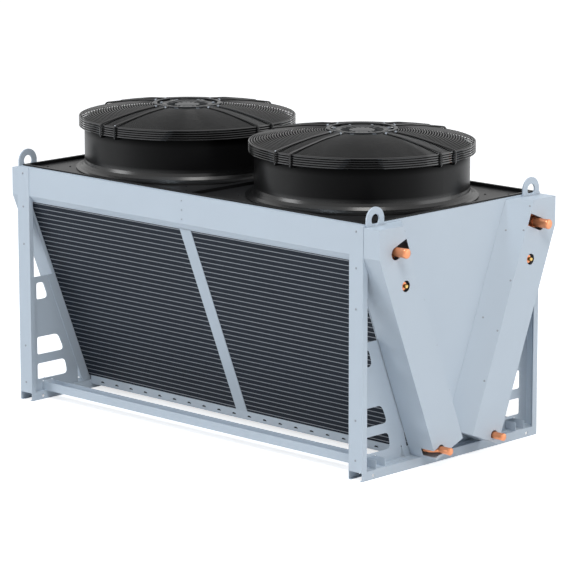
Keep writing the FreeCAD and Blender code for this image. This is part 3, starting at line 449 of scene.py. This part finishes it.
def copper_pipe(colors):
    """Drawn copper: warm cloudy patches and fine drawing marks along the pipe."""
    finish = Finish("drawn_copper")
    cloud = finish.grain(26.0, 4.0)
    streak = finish.grain(340.0, 2.0)
    color = colors.copper_color
    tone = (cloud * 0.75 + streak * 0.25).clamped()
    finish.shade(Base_Color=finish.blend(tone, tinted(color, 0.66), tinted(color, 1.05)),
                 Roughness=cloud * 0.16 + 0.26, Metallic=cloud * 0.2 + 0.55)
    finish.relief(streak, 0.0001, 0.4)
    return finish.material


def brass_fitting():
    """Turned brass of the service valves."""
    finish = Finish("brass_fitting")
    cloud = finish.grain(120.0)
    finish.shade(Base_Color=finish.blend(cloud, (0.46, 0.28, 0.07, 1), (0.80, 0.58, 0.22, 1)),
                 Roughness=cloud * 0.15 + 0.22, Metallic=1.0)
    return finish.material


def zinc_screw():
    """Plated screw heads and clips, close to the housing in tone."""
    finish = Finish("zinc_screw_heads")
    cloud = finish.grain(300.0)
    finish.shade(Base_Color=finish.blend(cloud, (0.22, 0.24, 0.27, 1), (0.40, 0.43, 0.47, 1)),
                 Roughness=cloud * 0.2 + 0.34, Metallic=cloud * 0.2 + 0.35)
    return finish.material


def black_motor():
    """Coarse black of the motors' castings, hub rings and deck screws, also used for the flat
    sheets of painted shade in the drain slots.
    """
    finish = Finish("black_motor_casting")
    cloud = finish.grain(18.0, 4.0)
    finish.shade(Base_Color=finish.blend(cloud, (0.009, 0.010, 0.011, 1), (0.018, 0.020, 0.022, 1)),
                 Roughness=cloud * 0.15 + 0.24)
    finish.shade(Specular_IOR_Level=0.12)
    finish.relief(finish.grain(600.0), 0.0003, 0.4)
    return finish.material


def galvanised_sheet():
    """Inner sheet with the pale crystal pattern of its zinc."""
    finish = Finish("inner_galvanised_sheet")
    cells = finish.node("ShaderNodeTexVoronoi", {}, {"Scale": 90.0})
    tone = Field(finish, cells.outputs["Distance"])
    cloud = finish.grain(7.0)
    finish.shade(Base_Color=finish.blend((tone * 0.5 + cloud * 0.5).clamped(),
                                         (0.30, 0.33, 0.36, 1), (0.50, 0.53, 0.56, 1)),
                 Roughness=cloud * 0.2 + 0.35, Metallic=tone * 0.2 + 0.4)
    return finish.material


MATERIALS = {}


def material(name):
    """A finish by its short name. The first call makes them all."""
    if not MATERIALS:
        colors = bpy.context.scene.condenser_finishes
        MATERIALS["housing"] = pale_housing(colors)
        MATERIALS["deck"] = black_sheet(colors)
        MATERIALS["nozzle"] = nozzle_coat(colors)
        MATERIALS["wire"] = black_wire(colors)
        MATERIALS["blade"] = blade_plastic()
        MATERIALS["coil"] = coil_rows()
        MATERIALS["copper"] = copper_pipe(colors)
        MATERIALS["brass"] = brass_fitting()
        MATERIALS["screw"] = zinc_screw()
        MATERIALS["motor"] = black_motor()
        MATERIALS["inner"] = galvanised_sheet()
    return MATERIALS[name]


# what a node's name starts with, and its finish; the others have the housing's
NODE_FINISHES = {
    "fan_deck": "deck",
    "nozzle": "nozzle",
    "fan_guard": "wire",
    "impeller": "blade",
    "motor": "motor",
    "fin_pack": "coil",
    "gas_header": "copper",
    "liquid_header": "copper",
    "centre_beam": "inner",
    "end_beam": "inner",
}


def dress(node, name):
    """Gives a node of the frame its finish."""
    mesh = NODES[node].data
    mesh.materials.clear()
    mesh.materials.append(material(name))


def piece(name, bm, finish, body, smooth=40.0):
    """A finished object from a bmesh, riding on a body."""
    mesh = bpy.data.meshes.new(name)
    bmesh.ops.recalc_face_normals(bm, faces=bm.faces[:])
    bm.to_mesh(mesh)
    bm.free()
    made = bpy.data.objects.new(name, mesh)
    bpy.context.scene.collection.objects.link(made)
    mesh.materials.append(material(finish))
    mesh.shade_smooth()
    mesh.set_sharp_from_angle(angle=math.radians(smooth))
    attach(made, body)
    return made


def add_ring(bm, centre, radius, height, wire, segments=HOOP_SEGMENTS):
    """A closed wire hoop lying flat."""
    loops = []
    for step in range(segments):
        turn = 2 * math.pi * step / segments
        loop = []
        for side in range(WIRE_SIDES):
            around = 2 * math.pi * side / WIRE_SIDES
            reach = radius + wire * math.cos(around)
            loop.append(bm.verts.new((centre + reach * math.cos(turn), reach * math.sin(turn),
                                      height + wire * math.sin(around))))
        loops.append(loop)
    for step in range(segments):
        here = loops[step]
        there = loops[(step + 1) % segments]
        for side in range(WIRE_SIDES):
            after = (side + 1) % WIRE_SIDES
            bm.faces.new((here[side], there[side], there[after], here[after]))


def rounded_path(points, bend, steps=5):
    """The points with each inner corner turned into a short curve."""
    path = [Vector(points[0])]
    for before, corner, after in zip(points, points[1:], points[2:]):
        before, corner, after = Vector(before), Vector(corner), Vector(after)
        reach = min(bend, (before - corner).length * 0.45, (after - corner).length * 0.45)
        start = corner + (before - corner).normalized() * reach
        end = corner + (after - corner).normalized() * reach
        for step in range(steps + 1):
            share = step / steps
            rest = 1 - share
            path.append(start * rest ** 2 + corner * 2 * share * rest + end * share ** 2)
    path.append(Vector(points[-1]))
    return path


def add_wire(bm, path, wire, sides=WIRE_SIDES):
    """A round wire along a path, closed at both ends."""
    loops = []
    last = None
    for index, point in enumerate(path):
        ahead = path[min(index + 1, len(path) - 1)] - path[max(index - 1, 0)]
        ahead.normalize()
        across = ahead.cross(Vector(UP))
        if across.length < 0.05:
            side_lead = Vector((1, 0, 0)) if abs(ahead.x) < 0.9 else Vector((0, 1, 0))
            across = ahead.cross(side_lead)
        if last is not None and across.dot(last) < 0:
            across.negate()
        across.normalize()
        last = across.copy()
        up = across.cross(ahead)
        turns = [2 * math.pi * side / sides for side in range(sides)]
        loops.append([bm.verts.new(point + (across * math.cos(turn) + up * math.sin(turn)) * wire)
                      for turn in turns])
    for here, there in zip(loops, loops[1:]):
        for side in range(sides):
            after = (side + 1) % sides
            bm.faces.new((here[side], there[side], there[after], here[after]))
    bm.faces.new(loops[0])
    bm.faces.new(loops[-1][::-1])


def add_lathe(bm, centre, profile, segments, closed=False):
    """Turns (radius, height) points about the upright line at centre along the unit."""
    rows = []
    for step in range(segments):
        turn = 2 * math.pi * step / segments
        rows.append([bm.verts.new((centre + radius * math.cos(turn),
                                   radius * math.sin(turn), height))
                     for radius, height in profile])
    last = len(profile) if closed else len(profile) - 1
    for step in range(segments):
        here = rows[step]
        there = rows[(step + 1) % segments]
        for index in range(last):
            after = (index + 1) % len(profile)
            bm.faces.new((here[index], there[index], there[after], here[after]))


def add_turned(bm, axis_y, axis_z, profile, segments):
    """Turns (radius, x) points about the line through (y, z) along the unit."""
    rows = []
    for step in range(segments):
        turn = 2 * math.pi * step / segments
        rows.append([bm.verts.new((along, axis_y + reach * math.cos(turn),
                                   axis_z + reach * math.sin(turn)))
                     for reach, along in profile])
    for step in range(segments):
        here = rows[step]
        there = rows[(step + 1) % segments]
        for index in range(len(profile) - 1):
            bm.faces.new((here[index], there[index], there[index + 1], here[index + 1]))
    bm.faces.new([row[0] for row in rows])
    bm.faces.new([row[-1] for row in rows][::-1])


def turned_to(axis):
    """The turn that brings an upright piece onto an axis."""
    return Vector(UP).rotation_difference(Vector(axis)).to_matrix().to_4x4()


def add_screw(bm, place, axis, radius, height):
    """A flanged hexagon head with a chamfered top, seated on a surface."""
    build = bmesh.new()
    steps = 12
    rows = []
    for step in range(steps):
        turn = 2 * math.pi * step / steps
        hexagon = HEAD_FLAT * radius if step % 2 else HEAD_CORNER * radius
        points = [(radius, 0.0), (radius, height * 0.25), (hexagon, height * 0.42),
                  (hexagon, height * 0.9), (hexagon * 0.8, height)]
        rows.append([build.verts.new((reach * math.cos(turn), reach * math.sin(turn), lift))
                     for reach, lift in points])
    for step in range(steps):
        here = rows[step]
        there = rows[(step + 1) % steps]
        for index in range(len(here) - 1):
            build.faces.new((here[index], there[index], there[index + 1], here[index + 1]))
    build.faces.new([row[-1] for row in rows])
    build.faces.new([row[0] for row in rows][::-1])
    build.transform(Matrix.Translation(Vector(place)) @ turned_to(axis))
    copied = bpy.data.meshes.new("screw_copy")
    build.to_mesh(copied)
    build.free()
    bm.from_mesh(copied)
    bpy.data.meshes.remove(copied)


def coil_line(height):
    """Distance of the coil's outer face from the middle, in metres."""
    return COIL_FOOT_Y + (height - COIL_FOOT_Z) * COIL_RUN


def cover_wall(end, along, height):
    """Distance of a cover's inclined inner wall from the middle."""
    return coil_line(height) - COVER_WIDTH - (COVER_FACE[end] - along) * COVER_INCLINE


class CondenserFinishes(bpy.types.PropertyGroup):
    """Colours of the finishes."""

    housing_color: bpy.props.FloatVectorProperty(
        name="Housing", description="Colour of the powder-coated housing",
        subtype="COLOR", size=3, default=linear(190, 201, 212)[:3])
    deck_color: bpy.props.FloatVectorProperty(
        name="Deck", description="Colour of the fan decks and nozzles",
        subtype="COLOR", size=3, default=(0.0105, 0.0105, 0.011))
    guard_color: bpy.props.FloatVectorProperty(
        name="Guards", description="Colour of the wire guards",
        subtype="COLOR", size=3, default=(0.0065, 0.0067, 0.007))
    copper_color: bpy.props.FloatVectorProperty(
        name="Copper", description="Colour of the copper stubs and headers",
        subtype="COLOR", size=3, default=(0.93, 0.36, 0.17))


class CondenserSizes(bpy.types.PropertyGroup):
    """Sizes of the added pieces."""

    fan_half_pitch: bpy.props.FloatProperty(
        name="Fan offset", description="Distance of each fan's axis from the middle",
        unit="LENGTH", default=0.555)
    guard_radius: bpy.props.FloatProperty(
        name="Guard radius", description="Outer radius of the guard's hoops",
        unit="LENGTH", default=0.507)
    guard_rim_low: bpy.props.FloatProperty(
        name="Guard rim, low", description="Height of the guard's lowest hoop",
        unit="LENGTH", default=1.3138)
    guard_rim_high: bpy.props.FloatProperty(
        name="Guard rim, high", description="Height of the guard's highest side hoop",
        unit="LENGTH", default=1.3543)
    guard_crown: bpy.props.FloatProperty(
        name="Guard crown", description="Height of the innermost hoop",
        unit="LENGTH", default=1.4035)
    guard_foot: bpy.props.FloatProperty(
        name="Guard feet", description="Height at which the guard's feet meet the nozzle",
        unit="LENGTH", default=1.3005)
    guard_hub: bpy.props.FloatProperty(
        name="Guard hub radius", description="Radius of the innermost hoop",
        unit="LENGTH", default=0.162)
    hoop_spacing: bpy.props.FloatProperty(
        name="Hoop spacing", description="Distance between two hoops of the guard",
        unit="LENGTH", default=0.0117)
    hoop_wire: bpy.props.FloatProperty(
        name="Hoop wire", description="Radius of the dome hoops' wire",
        unit="LENGTH", default=0.0024)
    rim_wire: bpy.props.FloatProperty(
        name="Rim wire", description="Radius of the side hoops' wire",
        unit="LENGTH", default=0.0041)
    spoke_wire: bpy.props.FloatProperty(
        name="Radial wire", description="Radius of the guard's radial wires",
        unit="LENGTH", default=0.0044)
    screw_radius: bpy.props.FloatProperty(
        name="Screw head", description="Radius of the housing's screw heads",
        unit="LENGTH", default=0.0052)


def guard_height(sizes, radius):
    """Height of the guard's dome over a radius."""
    outer = sizes.guard_radius - sizes.rim_wire
    share = min(max((outer - radius) / (outer - sizes.guard_hub), 0.0), 1.0)
    rise = sizes.guard_crown - sizes.guard_rim_high
    return sizes.guard_rim_high + rise * (1 - (1 - share) ** DOME_CURVE)


class CONDENSER_OT_housing(bpy.types.Operator):
    """Gives the housing, decks, coils and pipes of the frame their finishes"""
    bl_idname = "condenser.housing"
    bl_label = "Housing finishes"

    def execute(self, context):
        for name in NODES:
            found = [finish for start, finish in NODE_FINISHES.items() if name.startswith(start)]
            dress(name, found[0] if found else "housing")
        return {"FINISHED"}


class CONDENSER_OT_guards(bpy.types.Operator):
    """Winds the wire guards: hoops, paired radial wires with their clips, and the hub rings"""
    bl_idname = "condenser.guards"
    bl_label = "Fan guards"

    def execute(self, context):
        sizes = context.scene.condenser_sizes
        spoke = sizes.spoke_wire
        rim = sizes.rim_wire
        outside = sizes.guard_radius + spoke * SPOKE_SEAT
        over = sizes.hoop_wire + spoke * SPOKE_SEAT
        shoulder = sizes.guard_rim_high + rim + spoke * SPOKE_LIFT
        for end in ENDS:
            centre = sign_of(end) * sizes.fan_half_pitch
            fan_axis = Vector((centre, 0, 0))
            bm = bmesh.new()
            for index in range(RIM_HOOPS):
                share = index / (RIM_HOOPS - 1)
                height = sizes.guard_rim_low + (sizes.guard_rim_high - sizes.guard_rim_low) * share
                add_ring(bm, centre, sizes.guard_radius - rim, height, rim)
            radius = sizes.guard_radius - rim - sizes.hoop_spacing
            while radius > sizes.guard_hub:
                segments = HOOP_SEGMENTS if radius > SMALL_HOOP else SMALL_HOOP_SEGMENTS
                add_ring(bm, centre, radius, guard_height(sizes, radius), sizes.hoop_wire, segments)
                radius -= sizes.hoop_spacing
            clamps = bmesh.new()
            for axis in range(4):
                turn = Matrix.Rotation(math.pi / 2 * axis, 4, "Z")
                for side in (-1, 1):
                    points = [
                        (NOZZLE_WALL, side * SPOKE_SIDE, sizes.guard_foot),
                        (outside, side * SPOKE_SIDE, sizes.guard_foot),
                        (outside, side * SPOKE_SIDE, shoulder),
                    ]
                    for reach, offset in SPOKE_DOME:
                        points.append((reach, side * offset, guard_height(sizes, reach) + over))
                    points.append((SPOKE_CROWN[0], side * SPOKE_CROWN[1], sizes.guard_crown + over))
                    points.append((SPOKE_END[0], side * SPOKE_END[1], SPOKE_END_HEIGHT))
                    path = [turn @ point + fan_axis for point in rounded_path(points, SPOKE_BEND)]
                    add_wire(bm, path, spoke)
                    height = guard_height(sizes, CLIP_MIDDLE) + over * SPOKE_SEAT
                    clip = [turn @ Vector((reach, side * CLIP_SIDE, height)) + fan_axis
                            for reach in CLIP_ENDS]
                    add_wire(clamps, clip, spoke * CLIP_GIRTH, sides=10)
            made = piece("guard_wires_" + end, bm, "wire", "frame")
            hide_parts("fan_guard_" + end)
            bm = bmesh.new()
            add_lathe(bm, centre, HUB_RING, segments=96, closed=True)
            piece("guard_hub_" + end, bm, "motor", "frame")
            piece("guard_clamps_" + end, clamps, "screw", "frame")
        return {"FINISHED"}


class CONDENSER_OT_motors(bpy.types.Operator):
    """Adds the motors' ribbed caps and mounting screws inside the hub rings"""
    bl_idname = "condenser.motors"
    bl_label = "Fan motors"

    def execute(self, context):
        sizes = context.scene.condenser_sizes
        for end in ENDS:
            centre = sign_of(end) * sizes.fan_half_pitch
            bm = bmesh.new()
            add_lathe(bm, centre, MOTOR_CAP, segments=72)
            for step in range(CAP_RIBS):
                turn = 2 * math.pi * step / CAP_RIBS
                across = Vector((math.cos(turn), math.sin(turn), 0))
                rib = [Vector((centre, 0, height)) + across * reach for reach, height in CAP_RIB]
                add_wire(bm, rib, CAP_RIB_WIRE, sides=6)
            piece("motor_cap_" + end, bm, "motor", "frame")
            bm = bmesh.new()
            for step in range(CAP_SCREWS):
                turn = math.pi / 4 * step + math.pi / 8
                place = (centre + CAP_SCREW_CIRCLE * math.cos(turn),
                         CAP_SCREW_CIRCLE * math.sin(turn), CAP_SCREW_SEAT)
                add_screw(bm, place, UP, CAP_SCREW_RADIUS, CAP_SCREW_HEIGHT)
            piece("motor_screws_" + end, bm, "screw", "frame")
        return {"FINISHED"}


class CONDENSER_OT_screws(bpy.types.Operator):
    """Seats the screws on posts, beams, covers and decks"""
    bl_idname = "condenser.screws"
    bl_label = "Screws"

    def execute(self, context):
        sizes = context.scene.condenser_sizes
        radius = sizes.screw_radius
        height = radius * HEAD_RISE
        bm = bmesh.new()
        for side in SIDES:
            out = sign_of(side)
            for end in ENDS:
                along = sign_of(end) * (END_X - POST_INSET)
                for level in POST_SCREWS:
                    add_screw(bm, (along, out * SIDE_Y, level), (0, out, 0), radius, height)
            for level in BEAM_JOINT_SCREWS:
                add_screw(bm, (0, out * SIDE_Y, level), (0, out, 0),
                          radius * JOINT_HEAD[0], height * JOINT_HEAD[1])
            for end, places in COVER_SCREWS.items():
                way = sign_of(end)
                for along, level in places:
                    across = cover_wall(end, along, level)
                    axis = Vector((way * COVER_INCLINE, -out, COIL_RUN)).normalized()
                    place = (way * along, out * across, level)
                    add_screw(bm, place, axis, radius * COVER_HEAD[0], height * COVER_HEAD[1])
        piece("housing_screws", bm, "screw", "frame", smooth=30.0)
        bm = bmesh.new()
        for end in ENDS:
            centre = sign_of(end) * sizes.fan_half_pitch
            for quarter in range(4):
                turn = math.pi / 2 * quarter + math.pi / 4
                for reach in DECK_SCREW_REACH:
                    place = (centre + reach * math.cos(turn), reach * math.sin(turn), DECK_FLOOR)
                    add_screw(bm, place, UP, radius, height)
        piece("deck_screws", bm, "motor", "frame", smooth=30.0)
        return {"FINISHED"}


class CONDENSER_OT_tray_louvres(bpy.types.Operator):
    """Adds the row of small drain louvres along each tray's outer strip, with flat black sheets
    below them as painted shade in their slots
    """
    bl_idname = "condenser.tray_louvres"
    bl_label = "Drain louvres"

    def execute(self, context):
        for side in SIDES:
            out = sign_of(side)
            face = out * COIL_FOOT_Y
            bm = bmesh.new()
            for along in LOUVRE_PLACES:
                crown = []
                for step in range(LOUVRE_STEPS + 1):
                    turn = math.pi * step / LOUVRE_STEPS
                    bulge = LOUVRE_REACH * (1 - abs(step / LOUVRE_STEPS - 0.5) * 0.8)
                    crown.append((along + LOUVRE_HALF * math.cos(turn),
                                  LOUVRE_RISE * math.sin(turn), bulge))
                back = [bm.verts.new((x, face + out * LOUVRE_SEAT, LOUVRE_BACK + z))
                        for x, z, _ in crown]
                front = [bm.verts.new((x, face + out * bulge, LOUVRE_FRONT + z * 0.8))
                         for x, z, bulge in crown]
                for step in range(LOUVRE_STEPS):
                    bm.faces.new((back[step], back[step + 1], front[step + 1], front[step]))
            piece("drain_louvres_" + side, bm, "housing", "frame")
            # flat black sheets just proud of the tray, painted as the shade inside the slots
            bm = bmesh.new()
            proud = face + out * SLOT_SEAT
            for along in LOUVRE_PLACES:
                outline = [(along - SLOT_HALF, SLOT_EDGE), (along + SLOT_HALF, SLOT_EDGE)]
                for step in range(SLOT_STEPS + 1):
                    turn = math.pi * step / SLOT_STEPS
                    outline.append((along + SLOT_HALF * math.cos(turn),
                                    SLOT_ARCH + SLOT_RISE * math.sin(turn)))
                bm.faces.new([bm.verts.new((x, proud, z)) for x, z in outline])
            piece("drain_slot_shade_" + side, bm, "motor", "frame")
        return {"FINISHED"}


class CONDENSER_OT_valves(bpy.types.Operator):
    """Adds the brass service valves, the caps on the stubs and the liquid tails"""
    bl_idname = "condenser.valves"
    bl_label = "Valves and caps"

    def execute(self, context):
        valve_y, valve_z = VALVE
        for side in SIDES:
            out = sign_of(side)
            bm = bmesh.new()
            add_turned(bm, out * valve_y, valve_z, VALVE_BODY, segments=24)
            piece("service_valve_" + side, bm, "brass", "frame")
            bm = bmesh.new()
            add_turned(bm, out * valve_y - SLEEVE_SHIFT, valve_z, VALVE_SLEEVE, segments=32)
            for across, height, radius in (GAS_STUB, LIQUID_STUB):
                cap = [(radius + wider, STUB_END + past) for wider, past in STUB_CAP]
                cap.append((radius * STUB_CAP_TOP[0], STUB_END + STUB_CAP_TOP[1]))
                add_turned(bm, out * across, height, cap, segments=40)
            piece("stub_caps_" + side, bm, "copper", "frame", smooth=50.0)
            bm = bmesh.new()
            tail = [(along, out * across, height) for along, across, height in LIQUID_TAIL]
            add_wire(bm, rounded_path(tail, TAIL_BEND), TAIL_RADIUS, sides=14)
            piece("liquid_tail_" + side, bm, "copper", "frame", smooth=60.0)
        return {"FINISHED"}


class CONDENSER_OT_studio(bpy.types.Operator):
    """Sets the camera, the pale floor and backdrop and the soft lights"""
    bl_idname = "condenser.studio"
    bl_label = "Camera and studio"

    def execute(self, context):
        scene = context.scene
        level = math.cos(CAMERA_ELEVATION)
        back = Vector((math.sin(CAMERA_AZIMUTH) * level, -math.cos(CAMERA_AZIMUTH) * level,
                       math.sin(CAMERA_ELEVATION)))
        right = Vector((math.cos(CAMERA_AZIMUTH), math.sin(CAMERA_AZIMUTH), 0))
        up = back.cross(right)
        turn = Matrix((right, up, back)).transposed().to_4x4()
        camera_data = bpy.data.cameras.new("photo_camera")
        camera_data.lens = CAMERA_LENS
        camera_data.sensor_width = 36.0
        camera_data.sensor_fit = "HORIZONTAL"
        camera_data.clip_end = 200.0
        camera = bpy.data.objects.new("photo_camera", camera_data)
        scene.collection.objects.link(camera)
        camera.matrix_world = (Matrix.Translation(Vector(CAMERA_PLACE)) @ turn
                               @ Matrix.Rotation(CAMERA_ROLL, 4, "Z"))
        scene.camera = camera

        floor = Finish("white_floor")
        floor.shade(Base_Color=(0.82, 0.83, 0.84, 1), Roughness=0.8, Specular_IOR_Level=0.1)
        glow = floor.node("ShaderNodeEmission", {}, {
            "Color": (1, 1, 1, 1), "Strength": FLOOR_GLOW})
        lifted = floor.node("ShaderNodeAddShader", {}, {
            0: floor.shader.outputs[0], 1: glow.outputs[0]})
        shown = floor.node("ShaderNodeMixShader", {}, {
            0: floor.backdrop(), 1: floor.shader.outputs[0], 2: lifted.outputs[0]})
        floor.show(shown, "Material Output")
        bm = bmesh.new()
        bmesh.ops.create_grid(bm, x_segments=1, y_segments=1, size=60.0)
        mesh = bpy.data.meshes.new("studio_floor")
        bm.to_mesh(mesh)
        bm.free()
        mesh.materials.append(floor.material)
        ground = bpy.data.objects.new("studio_floor", mesh)
        ground.location.z = -0.001
        scene.collection.objects.link(ground)

        scene.world = bpy.data.worlds.new("studio_world")
        scene.world.use_nodes = True
        sky = Weave(scene.world.node_tree)
        soft = sky.node("ShaderNodeBackground", {}, {
            "Color": (0.96, 0.98, 1.0, 1), "Strength": SKY_LIGHT})
        white = sky.node("ShaderNodeBackground", {}, {"Color": (1, 1, 1, 1), "Strength": 1.0})
        seen = sky.node("ShaderNodeMixShader", {}, {
            0: sky.backdrop(), 1: soft.outputs[0], 2: white.outputs[0]})
        sky.show(seen, "World Output")

        for name, (place, width, height, power, color) in LAMPS.items():
            light = bpy.data.lights.new(name, "AREA")
            light.shape = "RECTANGLE"
            light.size = width
            light.size_y = height
            light.energy = power
            light.color = color
            lamp = bpy.data.objects.new(name, light)
            lamp.location = place
            aim = LAMP_AIM - Vector(place)
            lamp.rotation_euler = aim.to_track_quat("-Z", "Y").to_euler()
            scene.collection.objects.link(lamp)
        scene.view_settings.view_transform = "Standard"
        return {"FINISHED"}


OPERATORS = (
    CONDENSER_OT_housing,
    CONDENSER_OT_guards,
    CONDENSER_OT_motors,
    CONDENSER_OT_screws,
    CONDENSER_OT_tray_louvres,
    CONDENSER_OT_valves,
    CONDENSER_OT_studio,
)


class CONDENSER_PT_panel(bpy.types.Panel):
    """Lists the condenser's pieces and sizes"""
    bl_idname = "CONDENSER_PT_panel"
    bl_label = "Condenser"
    bl_space_type = "VIEW_3D"
    bl_region_type = "UI"
    bl_category = "Condenser"

    def draw(self, context):
        layout = self.layout
        for group in (context.scene.condenser_sizes, context.scene.condenser_finishes):
            for name in group.__annotations__:
                layout.prop(group, name)
        for operator in OPERATORS:
            layout.operator(operator.bl_idname)


CLASSES = (CondenserFinishes, CondenserSizes) + OPERATORS + (CONDENSER_PT_panel,)


def register():
    for cls in CLASSES:
        bpy.utils.register_class(cls)
    bpy.types.Scene.condenser_finishes = bpy.props.PointerProperty(type=CondenserFinishes)
    bpy.types.Scene.condenser_sizes = bpy.props.PointerProperty(type=CondenserSizes)


def unregister():
    del bpy.types.Scene.condenser_sizes
    del bpy.types.Scene.condenser_finishes
    for cls in reversed(CLASSES):
        bpy.utils.unregister_class(cls)


def main():
    register()
    bpy.ops.condenser.housing()
    bpy.ops.condenser.guards()
    bpy.ops.condenser.motors()
    bpy.ops.condenser.screws()
    bpy.ops.condenser.tray_louvres()
    bpy.ops.condenser.valves()
    bpy.ops.condenser.studio()


if __name__ == "__main__":
    main()
